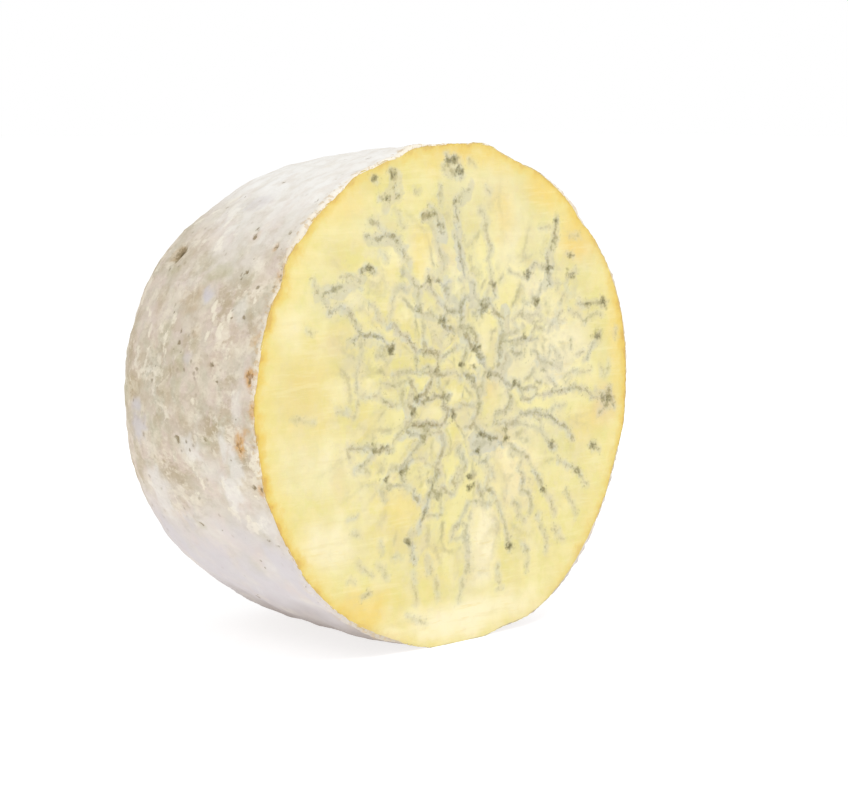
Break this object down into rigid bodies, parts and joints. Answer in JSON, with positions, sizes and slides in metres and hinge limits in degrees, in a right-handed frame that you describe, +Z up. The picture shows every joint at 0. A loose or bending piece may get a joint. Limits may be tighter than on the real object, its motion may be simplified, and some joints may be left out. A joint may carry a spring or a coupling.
{
  "type": "half drum of blue cheese",
  "caption": "Blue cheese drum cut crosswise, lying on its pale rind side with the round blue-veined cut face showing.",
  "frame": {"origin": "middle of the underside, on the surface the cheese lies on", "axes": "+Z up; the drum's own axis runs along Y, the round cut face looks to -Y and the uncut rounded end to +Y; +X to the right as the cut face is seen from the front"},
  "size_m": [0.202, 0.1054, 0.1953],
  "materials": {
    "cheese": "matte, slightly moist paste and a dry, floury rind"
  },
  "bodies": {
    "root": {"cheese": "cheese"}
  },
  "joints": []
}
